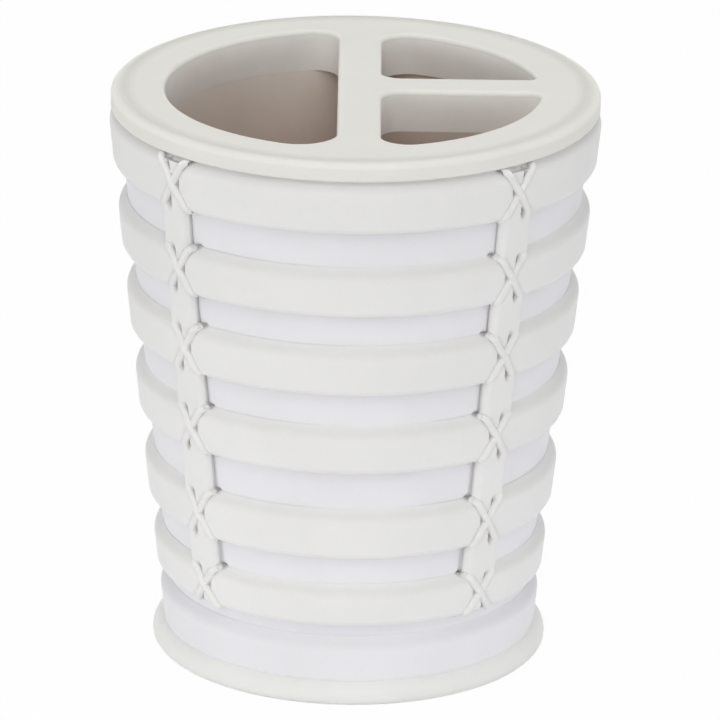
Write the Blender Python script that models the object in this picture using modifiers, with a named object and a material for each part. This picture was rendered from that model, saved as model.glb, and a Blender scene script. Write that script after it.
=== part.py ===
# Toothbrush holder: a tapered cup ringed by hoops, which cord lashes to four uprights,
# standing in a round base, with a lift-out top that has three openings.
# Metres, +Z up. The origin is the middle of the underside. The top's wide bar lies along Y,
# and its narrow bar points to +X.

import math

import bmesh
import bpy
from mathutils import Matrix

# Driving dimensions
HEIGHT = 0.1080
HOOP_LINE_LOW = 0.0342
HOOP_LINE_HIGH = 0.0458
HOOP_LINE_BOW = 0.0003
RECESS_DEPTH = 0.0019
CUP_WALL = 0.0078
CUP_FLOOR = 0.0055

# Clearances
SEAT_GAP = 0.0003
LID_GAP = 0.0004
CUT_OVERRUN = 0.0010

# Cup
MOUTH_WALL = 0.0036
MOUTH_FILLET = 0.0007
CUP_FLOOR_FILLET = 0.0040
CUP_FOOT_FILLET = 0.0008

# Base
BASE_HEIGHT = 0.0044
BASE_LEDGE = 0.0039
BASE_FLOOR = 0.0026
BASE_SHOULDER = 0.0028
BASE_EDGE = 0.0015
FOOT_RING_WIDTH = 0.0042
FOOT_RECESS = 0.0008

# Hoops, from the top down, and the band that has no lashings below them
HOOP_MIDDLE_SHARES = (0.9330, 0.7620, 0.5924, 0.4205, 0.2344, 0.0781)
HOOP_WIDTHS = (0.0075, 0.0088, 0.0090, 0.0085, 0.0090, 0.0071)
HOOP_FILLET = 0.0013
LOWER_BAND_RISE = 0.00105
LOWER_BAND_WIDTH = 0.0072

# Uprights
STAKE_WIDTH = 0.0074
STAKE_INLAY = 0.0018
STAKE_RELIEF = 0.0003
STAKE_EDGE = 0.0009
STAKE_PAIR_ANGLE = math.radians(90)
LATTICE_TURN = math.radians(-92.75)

# Lashings
CORD_RADIUS = 0.00065
LASHING_REACH = 0.0015
CORD_TUCK = 0.0003
CROSSING_LIFT = 0.0005

# Top plate
RIM_THICKNESS = 0.0035
RIM_OVERHANG = 0.00145
RIM_FILLET = 0.0022
RIM_GROOVE_WIDTH = 0.0010
RIM_GROOVE_DEPTH = 0.0002
RIM_LOWER_FILLET = 0.0005
PLATE_DEPTH = 0.0079
PLUG_FILLET = 0.0006
WIDE_OPENING_MARGIN = 0.0041
NARROW_OPENING_MARGIN = 0.0050
WIDE_BAR = 0.0080
NARROW_BAR = 0.0080
WIDE_BAR_SHIFT = 0.0007
NARROW_BAR_SHIFT = 0.0021
WIDE_BACK_FILLET = 0.0045
WIDE_FRONT_FILLET = 0.0070
NARROW_ARC_FILLET = 0.0050
NARROW_INNER_FILLET = 0.0038
NARROW_TIP_FILLET = 0.0018
UPPER_LIP = 0.0010
LOWER_LIP = 0.0005

# Resolution
SEGMENTS = 44
WALL_STEPS = 3
FILLET_STEPS = 3
OPENING_ARC_STEPS = 14
OPENING_FILLET_STEPS = 4
LIP_STEPS = 3
CORD_BEVEL_RESOLUTION = 1
EDGE_SEGMENTS = 2
MERGE_DISTANCE = 0.00001

# Colours
CAST_WHITE = (0.80, 0.80, 0.77, 1.0)
CORD_WHITE = (0.81, 0.81, 0.80, 1.0)
INNER_WHITE = (0.74, 0.71, 0.66, 1.0)


def clear_scene():
    for obj in list(bpy.data.objects):
        bpy.data.objects.remove(obj, do_unlink=True)


def new_collection(name):
    collection = bpy.data.collections.new(name)
    bpy.context.scene.collection.children.link(collection)
    return collection


def material(name, colour, roughness):
    made = bpy.data.materials.new(name)
    made.use_nodes = True
    shader = made.node_tree.nodes["Principled BSDF"]
    shader.inputs["Base Color"].default_value = colour
    shader.inputs["Roughness"].default_value = roughness
    shader.inputs["Metallic"].default_value = 0.0
    made.diffuse_color = colour
    return made


def place(name, data, collection, finish):
    obj = bpy.data.objects.new(name, data)
    collection.objects.link(obj)
    if finish and not data.materials:
        data.materials.append(finish)
    return obj


def evaluated_mesh(obj):
    """The object's mesh with its modifiers or its bevel applied, and its seams closed."""
    graph = bpy.context.evaluated_depsgraph_get()
    mesh = bpy.data.meshes.new_from_object(obj.evaluated_get(graph))
    shape = bmesh.new()
    shape.from_mesh(mesh)
    bmesh.ops.remove_doubles(shape, verts=shape.verts, dist=MERGE_DISTANCE)
    bmesh.ops.recalc_face_normals(shape, faces=shape.faces)
    shape.to_mesh(mesh)
    shape.free()
    return mesh


def remove(obj):
    bpy.data.objects.remove(obj, do_unlink=True)


def arc(across, height, radius, start, end, steps):
    """Points of an arc in a profile, with angles in degrees from the outward direction."""
    points = []
    for step in range(steps + 1):
        angle = math.radians(start + (end - start) * step / steps)
        points.append((across + radius * math.cos(angle), height + radius * math.sin(angle)))
    return points


def turned(name, profile, closed, collection, finish):
    """A body turned about Z from a profile of (radius, height) points."""
    mesh = bpy.data.meshes.new(name)
    edges = [(i, i + 1) for i in range(len(profile) - 1)]
    if closed:
        edges.append((len(profile) - 1, 0))
    mesh.from_pydata([(radius, 0, height) for radius, height in profile], edges, [])
    obj = place(name, mesh, collection, finish)
    screw = obj.modifiers.new("Turn", "SCREW")
    screw.axis = "Z"
    screw.steps = SEGMENTS
    screw.render_steps = SEGMENTS
    screw.use_merge_vertices = True
    screw.merge_threshold = MERGE_DISTANCE
    screw.use_smooth_shade = True
    return obj


def cut(obj, cutter):
    boolean = obj.modifiers.new("Cut", "BOOLEAN")
    boolean.operation = "DIFFERENCE"
    boolean.solver = "EXACT"
    boolean.object = cutter


def hide_cutter(cutter):
    cutter.hide_render = True
    cutter.display_type = "WIRE"


# Radii shared by the pieces

def hoop_radius(height):
    """Outer faces of the hoops: a taper that bows out a little halfway up."""
    share = height / HEIGHT
    bow = HOOP_LINE_BOW * (1 - (2 * share - 1) ** 2)
    return HOOP_LINE_LOW + (HOOP_LINE_HIGH - HOOP_LINE_LOW) * share + bow


def wall_radius(height):
    return hoop_radius(height) - RECESS_DEPTH


def bore_radius(height):
    return wall_radius(height) - CUP_WALL


def rebate_radius(height):
    """The wider stretch at the cup's mouth, which takes the plug of the top plate."""
    return wall_radius(height) - MOUTH_WALL


def flat_radius(radius):
    """Distance from the axis to the middle of a facet of a turned piece."""
    return radius * math.cos(math.pi / SEGMENTS)


RIM_BOTTOM = HEIGHT - RIM_THICKNESS
RIM_RADIUS = wall_radius(RIM_BOTTOM) + RIM_OVERHANG
MOUTH = RIM_BOTTOM - SEAT_GAP
PLUG_BOTTOM = HEIGHT - PLATE_DEPTH
PLUG_RADIUS = rebate_radius(PLUG_BOTTOM) - LID_GAP
LEDGE = PLUG_BOTTOM - SEAT_GAP
CUP_BOTTOM = BASE_FLOOR + SEAT_GAP
BASE_RADIUS = wall_radius(BASE_HEIGHT) + BASE_LEDGE
LOWER_BAND_TOP = BASE_HEIGHT + LOWER_BAND_RISE + LOWER_BAND_WIDTH


def hoop_places():
    """The middle height and the width of each hoop, between the lower band and the rim."""
    span = RIM_BOTTOM - LOWER_BAND_TOP
    middles = [LOWER_BAND_TOP + span * share for share in HOOP_MIDDLE_SHARES]
    return list(zip(middles, HOOP_WIDTHS))


HOOPS = hoop_places()
STAKE_TOP = HOOPS[0][0] + HOOPS[0][1] / 2
STAKE_BOTTOM = HOOPS[-1][0] - HOOPS[-1][1] / 2


def stake_angles():
    angles = []
    for side in (LATTICE_TURN, LATTICE_TURN + math.pi):
        angles.append(side - STAKE_PAIR_ANGLE / 2)
        angles.append(side + STAKE_PAIR_ANGLE / 2)
    return angles


# Cup

def cup_profile():
    floor = CUP_BOTTOM + CUP_FLOOR
    corner = bore_radius(floor + CUP_FLOOR_FILLET) - CUP_FLOOR_FILLET
    profile = [(0, floor)]
    profile += arc(corner, floor + CUP_FLOOR_FILLET, CUP_FLOOR_FILLET, -90, 0, FILLET_STEPS)
    profile += [(bore_radius(LEDGE), LEDGE), (rebate_radius(LEDGE), LEDGE)]
    lip = MOUTH - MOUTH_FILLET
    profile += arc(rebate_radius(lip) + MOUTH_FILLET, lip, MOUTH_FILLET, 180, 90, 2)
    profile += arc(wall_radius(lip) - MOUTH_FILLET, lip, MOUTH_FILLET, 90, 0, 2)
    foot = CUP_BOTTOM + CUP_FOOT_FILLET
    for step in range(1, WALL_STEPS + 1):
        height = lip + (foot - lip) * step / WALL_STEPS
        profile.append((wall_radius(height), height))
    profile.append((wall_radius(foot) - CUP_FOOT_FILLET, CUP_BOTTOM))
    profile.append((0, CUP_BOTTOM))
    return profile


def stake_inner(height):
    """The inner face of an upright, straight from its top to its foot."""
    share = (height - STAKE_BOTTOM) / (STAKE_TOP - STAKE_BOTTOM)
    low = wall_radius(STAKE_BOTTOM) - STAKE_INLAY + SEAT_GAP
    high = wall_radius(STAKE_TOP) - STAKE_INLAY + SEAT_GAP
    return low + (high - low) * share


def flat_outline(name, points, half_thickness):
    """A closed outline in X and Z, made into a plate of that half thickness along Y."""
    curve = bpy.data.curves.new(name, "CURVE")
    curve.dimensions = "2D"
    curve.fill_mode = "BOTH"
    curve.extrude = half_thickness
    spline = curve.splines.new("POLY")
    spline.points.add(len(points) - 1)
    for point, (across, height) in zip(spline.points, points):
        point.co = (across, height, 0, 1)
    spline.use_cyclic_u = True
    flat = bpy.data.objects.new(name, curve)
    bpy.context.scene.collection.objects.link(flat)
    mesh = evaluated_mesh(flat)
    remove(flat)
    mesh.transform(Matrix.Rotation(math.pi / 2, 4, "X"))
    return mesh


def groove_mesh():
    """The slot in the cup's wall that an upright is let into."""
    low = STAKE_BOTTOM - SEAT_GAP
    high = STAKE_TOP + SEAT_GAP
    outside = RECESS_DEPTH + CUT_OVERRUN
    points = [
        (stake_inner(low) - SEAT_GAP, low),
        (wall_radius(low) + outside, low),
        (wall_radius(high) + outside, high),
        (stake_inner(high) - SEAT_GAP, high),
    ]
    return flat_outline("groove", points, STAKE_WIDTH / 2 + SEAT_GAP)


def make_cup(parts, cutters, finish):
    cup = turned("cup", cup_profile(), False, parts, finish)
    slot = groove_mesh()
    for number, angle in enumerate(stake_angles(), 1):
        cutter = place(f"groove_cutter_{number}", slot, cutters, None)
        cutter.rotation_euler.z = angle
        hide_cutter(cutter)
        cut(cup, cutter)
    return cup


# Base

def make_base(parts, finish):
    socket = wall_radius(BASE_HEIGHT) + SEAT_GAP
    shoulder = min(BASE_SHOULDER, BASE_HEIGHT - BASE_EDGE, BASE_RADIUS - socket)
    foot_inner = BASE_RADIUS - BASE_EDGE - FOOT_RING_WIDTH
    profile = [(0, BASE_FLOOR), (socket, BASE_FLOOR), (socket, BASE_HEIGHT)]
    profile += arc(BASE_RADIUS - shoulder, BASE_HEIGHT - shoulder, shoulder, 90, 0, FILLET_STEPS)
    profile += arc(BASE_RADIUS - BASE_EDGE, BASE_EDGE, BASE_EDGE, 0, -90, 2)
    profile += [(foot_inner, 0), (foot_inner - FOOT_RECESS, FOOT_RECESS), (0, FOOT_RECESS)]
    return turned("base_dish", profile, False, parts, finish)


# Hoops

def hoop_profile(middle, width):
    """A strap section, flat inside, with its outer edges rounded."""
    top = middle + width / 2
    bottom = middle - width / 2
    inner_top = wall_radius(top) + SEAT_GAP
    inner_bottom = wall_radius(bottom) + SEAT_GAP
    thickness = RECESS_DEPTH - SEAT_GAP
    fillet = min(HOOP_FILLET, thickness, width / 2)
    profile = arc(hoop_radius(top) - fillet, top - fillet, fillet, 90, 0, 2)
    profile += arc(hoop_radius(bottom) - fillet, bottom + fillet, fillet, 0, -90, 2)
    profile += [(inner_bottom, bottom), (inner_top, top)]
    return profile


def make_hoops(parts, finish):
    for number, (middle, width) in enumerate(HOOPS, 1):
        turned(f"hoop_{number}", hoop_profile(middle, width), True, parts, finish)
    middle = LOWER_BAND_TOP - LOWER_BAND_WIDTH / 2
    turned("lower_band", hoop_profile(middle, LOWER_BAND_WIDTH), True, parts, finish)


# Uprights

def seat_face(height):
    """The face of an upright behind a hoop, clear of the hoop's inner facets."""
    reach = flat_radius(wall_radius(height) + SEAT_GAP) - SEAT_GAP
    return math.sqrt(reach ** 2 - (STAKE_WIDTH / 2) ** 2)


def stake_outline():
    """A comb outline: full depth between the hoops, and notched where each hoop passes."""
    points = []
    for number, (middle, width) in enumerate(HOOPS):
        top = middle + width / 2
        bottom = middle - width / 2
        if number:
            shoulder = top + SEAT_GAP
            points.append((hoop_radius(shoulder) - STAKE_RELIEF, shoulder))
            points.append((seat_face(shoulder), shoulder))
        else:
            points.append((seat_face(top), top))
        if number < len(HOOPS) - 1:
            shoulder = bottom - SEAT_GAP
            points.append((seat_face(shoulder), shoulder))
            points.append((hoop_radius(shoulder) - STAKE_RELIEF, shoulder))
        else:
            points.append((seat_face(bottom), bottom))
    points.append((stake_inner(STAKE_BOTTOM), STAKE_BOTTOM))
    points.append((stake_inner(STAKE_TOP), STAKE_TOP))
    return points


def weight_front_edges(mesh):
    """Marks the upright's long front edges, between the hoops, for rounding."""
    shape = bmesh.new()
    shape.from_mesh(mesh)
    weights = shape.edges.layers.float.new("bevel_weight_edge")
    for edge in shape.edges:
        first, second = (vert.co for vert in edge.verts)
        along = abs(second.z - first.z) > abs(second.x - first.x)
        if along and first.y * second.y > 0:
            middle = (first + second) / 2
            if middle.x > hoop_radius(middle.z) - STAKE_RELIEF - SEAT_GAP:
                edge[weights] = 1
    shape.to_mesh(mesh)
    shape.free()


def make_stakes(parts, finish):
    mesh = flat_outline("stake", stake_outline(), STAKE_WIDTH / 2)
    weight_front_edges(mesh)
    mesh.materials.append(finish)
    for number, angle in enumerate(stake_angles(), 1):
        stake = place(f"stake_{number}", mesh, parts, finish)
        stake.rotation_euler.z = angle
        bevel = stake.modifiers.new("Soft edges", "BEVEL")
        bevel.limit_method = "WEIGHT"
        bevel.width = STAKE_EDGE
        bevel.segments = EDGE_SEGMENTS


# Lashings

def cord_section(middle, width, lift):
    """Centre line of a cord over the upper half of a hoop: (radius, height, distance along)."""
    top = middle + width / 2
    fillet = min(HOOP_FILLET, RECESS_DEPTH - SEAT_GAP, width / 2)
    turn = fillet + SEAT_GAP + CORD_RADIUS
    straight = width / 2 - fillet
    places = [(hoop_radius(middle) + turn - fillet + lift, middle, 0)]
    for step in range(FILLET_STEPS):
        angle = math.pi / 2 * step / (FILLET_STEPS - 1)
        radius = hoop_radius(top) - fillet + turn * math.cos(angle)
        height = top - fillet + turn * math.sin(angle)
        places.append((radius, height, straight + turn * angle))
    radius, height, along = places[-1]
    places.append((radius - CORD_TUCK, height, along))
    return places


def lashing_arm(name, middle, width, lean, lift):
    """One arm of an X lashing, leaning to one side as it climbs over the hoop."""
    half = cord_section(middle, width, lift)
    start = 0 if lift else 1
    spread = STAKE_WIDTH / 2 + LASHING_REACH
    length = half[-1][2]
    taper = (HOOP_LINE_HIGH - HOOP_LINE_LOW) / HEIGHT
    points = []
    for side in (-1, 1):
        places = half[start:] if side > 0 else half[:0:-1]
        for radius, height, along in places:
            drop = 0 if side > 0 else 2 * (height - middle)
            turn = side * lean * spread * along / length / hoop_radius(middle)
            out = radius - taper * drop
            points.append((out * math.cos(turn), out * math.sin(turn), height - drop))
    curve = bpy.data.curves.new(name, "CURVE")
    curve.dimensions = "3D"
    curve.bevel_depth = CORD_RADIUS
    curve.bevel_resolution = CORD_BEVEL_RESOLUTION
    curve.use_fill_caps = True
    spline = curve.splines.new("POLY")
    spline.points.add(len(points) - 1)
    for point, place_at in zip(spline.points, points):
        point.co = (*place_at, 1)
    arm = bpy.data.objects.new(name, curve)
    bpy.context.scene.collection.objects.link(arm)
    mesh = evaluated_mesh(arm)
    remove(arm)
    solid = bpy.data.objects.new(name, mesh)
    bpy.context.scene.collection.objects.link(solid)
    return solid


def lashing_mesh(middle, width):
    """Two crossing arms joined into one body."""
    rising = lashing_arm("rising_arm", middle, width, 1, 0)
    falling = lashing_arm("falling_arm", middle, width, -1, CROSSING_LIFT)
    union = rising.modifiers.new("Join", "BOOLEAN")
    union.operation = "UNION"
    union.solver = "EXACT"
    union.object = falling
    mesh = evaluated_mesh(rising)
    remove(rising)
    remove(falling)
    mesh.shade_smooth()
    return mesh


def make_lashings(parts, finish):
    for row, (middle, width) in enumerate(HOOPS, 1):
        mesh = lashing_mesh(middle, width)
        mesh.materials.clear()
        mesh.materials.append(finish)
        for number, angle in enumerate(stake_angles(), 1):
            lashing = place(f"lashing_{row}_{number}", mesh, parts, finish)
            lashing.rotation_euler.z = angle


# Top plate

def plate_profile():
    upper = min(RIM_FILLET, RIM_THICKNESS - RIM_LOWER_FILLET)
    lower = RIM_LOWER_FILLET
    shoulder = RIM_RADIUS - upper
    profile = [(0, HEIGHT), (shoulder - RIM_GROOVE_WIDTH, HEIGHT)]
    profile.append((shoulder - RIM_GROOVE_WIDTH / 2, HEIGHT - RIM_GROOVE_DEPTH))
    profile += arc(shoulder, HEIGHT - upper, upper, 90, 0, FILLET_STEPS)
    profile += arc(RIM_RADIUS - lower, RIM_BOTTOM + lower, lower, 0, -90, 1)
    profile.append((rebate_radius(RIM_BOTTOM) - LID_GAP, RIM_BOTTOM))
    profile += [(PLUG_RADIUS, PLUG_BOTTOM + PLUG_FILLET), (PLUG_RADIUS - PLUG_FILLET, PLUG_BOTTOM)]
    profile.append((0, PLUG_BOTTOM))
    return profile


def corner_on_circle(radius, line, fillet):
    """Centre of a fillet that touches a circle from inside and a line at that offset."""
    across = line + fillet
    return across, math.sqrt((radius - fillet) ** 2 - across ** 2)


def sweep(centre, radius, start, end, steps):
    points = []
    for step in range(steps + 1):
        angle = start + (end - start) * step / steps
        points.append((centre[0] + radius * math.cos(angle), centre[1] + radius * math.sin(angle)))
    return points


def wide_outline(grow, bar_edge):
    """The D-shaped opening, drawn on the +X side, grown outward by a distance."""
    radius = PLUG_RADIUS - WIDE_OPENING_MARGIN
    back = corner_on_circle(radius, bar_edge, WIDE_BACK_FILLET)
    front = corner_on_circle(radius, bar_edge, WIDE_FRONT_FILLET)
    back_angle = math.atan2(back[1], back[0])
    front_angle = math.atan2(front[1], front[0])
    front = (front[0], -front[1])
    steps = OPENING_FILLET_STEPS
    points = sweep((0, 0), radius + grow, -front_angle, back_angle, OPENING_ARC_STEPS)
    points += sweep(back, WIDE_BACK_FILLET + grow, back_angle, math.pi, steps)
    points += sweep(front, WIDE_FRONT_FILLET + grow, math.pi, 2 * math.pi - front_angle, steps)
    return points


def narrow_outline(grow, bar_edge):
    """A quarter opening beyond both bars, grown outward by a distance."""
    radius = PLUG_RADIUS - NARROW_OPENING_MARGIN
    line = WIDE_BAR / 2 + WIDE_BAR_SHIFT
    tip = corner_on_circle(radius, bar_edge, NARROW_TIP_FILLET)[::-1]
    crown = corner_on_circle(radius, line, NARROW_ARC_FILLET)
    inner = (line + NARROW_INNER_FILLET, bar_edge + NARROW_INNER_FILLET)
    tip_angle = math.atan2(tip[1], tip[0])
    crown_angle = math.atan2(crown[1], crown[0])
    steps = OPENING_FILLET_STEPS
    points = sweep(tip, NARROW_TIP_FILLET + grow, -math.pi / 2, tip_angle, steps)
    points += sweep((0, 0), radius + grow, tip_angle, crown_angle, OPENING_ARC_STEPS // 2)
    points += sweep(crown, NARROW_ARC_FILLET + grow, crown_angle, math.pi, steps)
    points += sweep(inner, NARROW_INNER_FILLET + grow, math.pi, math.pi * 3 / 2, steps)
    return points


def opening_levels():
    """Heights down an opening, and how far its outline is grown there by the rounded lips."""
    levels = [(HEIGHT + CUT_OVERRUN, UPPER_LIP)]
    for step in range(LIP_STEPS + 1):
        angle = math.pi / 2 * step / LIP_STEPS
        height = HEIGHT - UPPER_LIP + UPPER_LIP * math.cos(angle)
        levels.append((height, UPPER_LIP * (1 - math.sin(angle))))
    levels.append((PLUG_BOTTOM + LOWER_LIP, 0))
    levels.append((PLUG_BOTTOM, LOWER_LIP))
    levels.append((PLUG_BOTTOM - CUT_OVERRUN, LOWER_LIP))
    return levels


def opening_cutter(name, outline, bar_edge, mirror, cutters):
    """A loft through the opening's outline at each level."""
    shape = bmesh.new()
    rings = []
    for height, grow in opening_levels():
        points = [(x * mirror[0], y * mirror[1], height) for x, y in outline(grow, bar_edge)]
        rings.append([shape.verts.new(point) for point in points])
    count = len(rings[0])
    for upper, lower in zip(rings, rings[1:]):
        for i in range(count):
            j = (i + 1) % count
            shape.faces.new((upper[i], upper[j], lower[j], lower[i]))
    shape.faces.new(rings[0])
    shape.faces.new(rings[-1])
    bmesh.ops.remove_doubles(shape, verts=shape.verts, dist=MERGE_DISTANCE)
    bmesh.ops.recalc_face_normals(shape, faces=shape.faces)
    mesh = bpy.data.meshes.new(name)
    shape.to_mesh(mesh)
    shape.free()
    cutter = place(name, mesh, cutters, None)
    hide_cutter(cutter)
    return cutter


def make_top_plate(parts, cutters, finish):
    plate = turned("top_plate", plate_profile(), False, parts, finish)
    openings = (
        ("wide_cutter", wide_outline, WIDE_BAR / 2 - WIDE_BAR_SHIFT, (-1, 1)),
        ("back_cutter", narrow_outline, NARROW_BAR / 2 + NARROW_BAR_SHIFT, (1, 1)),
        ("front_cutter", narrow_outline, NARROW_BAR / 2 - NARROW_BAR_SHIFT, (1, -1)),
    )
    for name, outline, bar_edge, mirror in openings:
        cut(plate, opening_cutter(name, outline, bar_edge, mirror, cutters))
    return plate


def main():
    clear_scene()
    parts = new_collection("toothbrush_holder")
    cutters = new_collection("cutters")
    make_cup(parts, cutters, material("cup_finish", INNER_WHITE, 0.6))
    make_base(parts, material("base_finish", CAST_WHITE, 0.55))
    make_hoops(parts, material("hoop_finish", CAST_WHITE, 0.55))
    make_stakes(parts, material("stake_finish", CAST_WHITE, 0.6))
    make_lashings(parts, material("cord_finish", CORD_WHITE, 0.65))
    make_top_plate(parts, cutters, material("plate_finish", CAST_WHITE, 0.5))


main()
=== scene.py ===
# The looks of a white cast toothbrush holder: fine surfaces and matte finishes.
# Metres, +Z up, in the frame of the part: the wide bar of the top lies along Y.

import math

import bmesh
import bpy
import numpy as np
from mathutils import Matrix, Vector


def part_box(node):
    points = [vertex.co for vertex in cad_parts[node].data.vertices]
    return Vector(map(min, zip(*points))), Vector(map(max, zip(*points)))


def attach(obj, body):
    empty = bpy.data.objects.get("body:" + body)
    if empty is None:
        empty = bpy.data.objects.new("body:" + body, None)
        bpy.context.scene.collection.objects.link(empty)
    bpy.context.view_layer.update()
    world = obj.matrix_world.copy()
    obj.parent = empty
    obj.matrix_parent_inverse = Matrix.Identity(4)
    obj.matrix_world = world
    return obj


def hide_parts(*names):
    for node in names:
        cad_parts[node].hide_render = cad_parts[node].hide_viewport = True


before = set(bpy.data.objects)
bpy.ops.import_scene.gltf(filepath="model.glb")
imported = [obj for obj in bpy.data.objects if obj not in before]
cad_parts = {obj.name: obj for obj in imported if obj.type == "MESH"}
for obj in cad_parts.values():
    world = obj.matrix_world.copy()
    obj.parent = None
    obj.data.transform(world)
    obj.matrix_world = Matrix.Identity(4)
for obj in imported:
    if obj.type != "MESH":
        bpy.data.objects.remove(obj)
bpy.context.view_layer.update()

# Cup and base. The outer finish goes over a share of the mouth's wall.
RECESS_DEPTH = 0.0019
CUP_WALL = 0.0081
CUP_FLOOR = 0.0055
CUP_INNER_FILLET = 0.004
CUP_FOOT_FILLET = 0.0008
MOUTH_WALL = 0.0036
MOUTH_WALL_SHARE = 0.9
LIP_FILLET = 0.0007
LID_GAP = 0.0004
SEAT_GAP = 0.0003
BASE_SHOULDER = 0.0028
BASE_EDGE = 0.0015
FOOT_RECESS = 0.0008
FOOT_RING = 0.0042

# Top plate. At its middle the rim's valley is twice RIM_VALLEY_HALF_DEPTH deep.
RIM_THICKNESS = 0.0035
RIM_VALLEY_RADIUS = 0.0424
RIM_VALLEY_REACH = 0.0009
RIM_VALLEY_HALF_DEPTH = 0.00006
RIM_SHOULDER = 0.0020
RIM_SHOULDER_DROP = 0.0012
RIM_LOWER_FILLET = 0.0005
PLUG_FILLET = 0.0006
WIDE_OPENING_MARGIN = 0.0041
NARROW_OPENING_MARGIN = 0.0050
WIDE_BAR = 0.0080
NARROW_BAR = 0.0080
WIDE_BAR_SHIFT = 0.0007
NARROW_BAR_SHIFT = 0.0021
WIDE_BACK_FILLET = 0.0045
WIDE_FRONT_FILLET = 0.0070
NARROW_ARC_FILLET = 0.0050
NARROW_INNER_FILLET = 0.0038
NARROW_TIP_FILLET = 0.0018
UPPER_LIP = 0.0010
UPPER_LIP_SHARE = 1.01
LOWER_LIP = 0.00003
CUT_OVERRUN = 0.001
PLUG_FACE_MARGIN = 0.002

# Hoops. The last one is the band that has no lashings.
LASHED_HOOPS = 6
FIRST_HOOP_RISE = 0.0018
FOOT_DROPS = (0.0003, 0.0003, 0.0003, 0.0005, 0.0004, 0.0008)
BAND_GAP = -0.0002
BAND_UNDERCUT = 0.0001
HOOP_UNDERCUT = 0.0009
HOOP_SHOULDER = 0.0026
HOOP_SHOULDER_SPREAD = 1.3
HOOP_CROWN_POWER = 2.5
HOOP_ROOT = 0.0004
HOOP_ROOT_SHARE = 0.12
HOOP_NODES = [f"hoop_{number}" for number in range(1, LASHED_HOOPS + 1)] + ["lower_band"]

# Uprights and their slots
LATTICE_TURN = math.radians(-92.75)
STAKE_PAIR_ANGLE = math.radians(90)
STAKE_WIDTH = 0.0074
STAKE_INLAY = 0.0018
STAKE_RISE = 0.0013
STAKE_EDGE = 0.0014
STAKE_UNDERCUT = 0.0002
STAKE_FLUSH = 0.00004
STAKE_HIDDEN = 0.0005
SLOT_GAP = 0.00001
SLOT_HALF_WIDTH = STAKE_WIDTH / 2 - STAKE_UNDERCUT + SLOT_GAP
CREASE_HALF_WIDTH = 0.00055
CREASE_DEPTH = 0.0003

# How far the inner side of an upright stands off its even place, at the middle of each gap
# between hoops, from the top down: one row for each upright of a pair.
SIDE_OFFSETS = ((-0.0008, -0.0006, 0.0, 0.0001, -0.0001), (0.0, 0.0, 0.0001, -0.0001, 0.0005))
SIDE_REACH = 0.0016

# Cords
CORD_RADIUS = 0.00072
CORD_RIDE = -0.0003
CORD_TURN = 0.0012
CORD_REACH = 0.0009
CORD_DIVE = 0.0012
CORD_END_SHARE = 0.5
CORD_CLEAR = CORD_RADIUS + 0.0001
CROSSING_LIFT = 0.0003
CROSSING_LIFT_REACH = 1.6
LASHING_REACH = 0.0036
LASHING_SHIFT = 0.0004
FAR_SINK = 0.00015
LEAST_NORMAL = 0.1

# Relief
WOBBLE = 0.00006
WOBBLE_WAVES = 9
WOBBLE_TURNS_PER_METRE = 90.0
WOBBLE_SEED = 11
CROSSING_MARGIN = 0.0030
GROOVE_HALF_WIDTH = 0.00035
GROOVE_DEPTH = 0.00018
DENT_POWER = 1.5
# A dent this deep takes the full painted shade.
DEEP_PIT = 0.0009

# Pits at a crossing: place across, the level it counts from, height above that, half width,
# half height and depth. The first value grows toward the middle of the front or the back.
DENTS = (
    (-0.0012, "top", -0.0013, 0.00050, 0.0012, 0.0006),
    (-0.0014, "bottom", 0.0009, 0.00055, 0.0012, 0.0008),
    (0.0012, "middle", 0.0002, 0.00045, 0.0010, 0.0004),
    (0.0041, "top", 0.0003, 0.00075, 0.0005, 0.0004),
    (0.0043, "bottom", -0.0002, 0.00070, 0.0004, 0.0004),
)

# Nicks in the hoops: angle from +X, height, half width, half height and depth.
NICKS = ((math.radians(-80.8), 0.0552, 0.0003, 0.0005, 0.0003),)

# Fine surface: distances between points, and the steps that curves are drawn in
EDGE_STEP = 0.00001
MERGE_DISTANCE = 0.000002
ROW_STEP = 0.00022
EDGE_ROWS = 2
HIDDEN_ROWS = 4
HIDDEN_MARGIN = 0.0010
SEGMENTS = 256
CROSSING_REACH = 0.0095
STEADY_REACH = 0.0055
CROSSING_COLUMNS = 113
BETWEEN_COLUMNS = 44
SLOT_CLEAR_STEPS = 4
FILLET_STEPS = 8
SMALL_FILLET_STEPS = 5
FLAT_STEPS = 6
SHORT_STEPS = 2
MOUTH_STEPS = 3
BORE_STEPS = 40
FOOT_STEPS = 4
SHOULDER_STEPS = 24
EDGE_STEPS = 10
STAKE_FACE_STEPS = 9
STAKE_SIDE_STEPS = 4
CORD_SIDES = 14
CORD_TURN_STEPS = 6
CORD_FACE_STEPS = 14
RIM_STEPS = 12
LOWER_LIP_STEPS = 4
WIDE_ARC_STEPS = 72
WIDE_CORNER_STEPS = 16
NARROW_ARC_STEPS = 40
NARROW_CORNER_STEPS = 14
NARROW_TIP_STEPS = 12
SHARP_ANGLE = math.radians(40)
STAKE_SHARP_ANGLE = math.radians(60)

# Colours of the cast body, and of the painted shade in its dents, grooves and creases, on its
# ledges and under its hoops
WHITE = (1.0, 1.0, 1.0)
CAST_WHITE = (0.90, 0.90, 0.89)
# The wall and the lower band are painted a touch bluer than the hoops: a painted tint for the cool
# shade in the recesses and low down.
WALL_WHITE = (0.90, 0.896, 0.922)
BASE_WHITE = (0.90, 0.905, 0.88)
TOP_WHITE = (0.87, 0.865, 0.815)
WARM_PAINTED_SHADE = (0.30, 0.285, 0.26)
COOL_PAINTED_SHADE = (0.26, 0.255, 0.29)
# The openings' walls are painted paler than the cast body as painted light, and a little darker
# toward their foot as painted shade.
OPENING_WHITE = (0.95, 0.94, 0.92)
OPENING_SHADED = (0.94, 0.915, 0.885)
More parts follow.
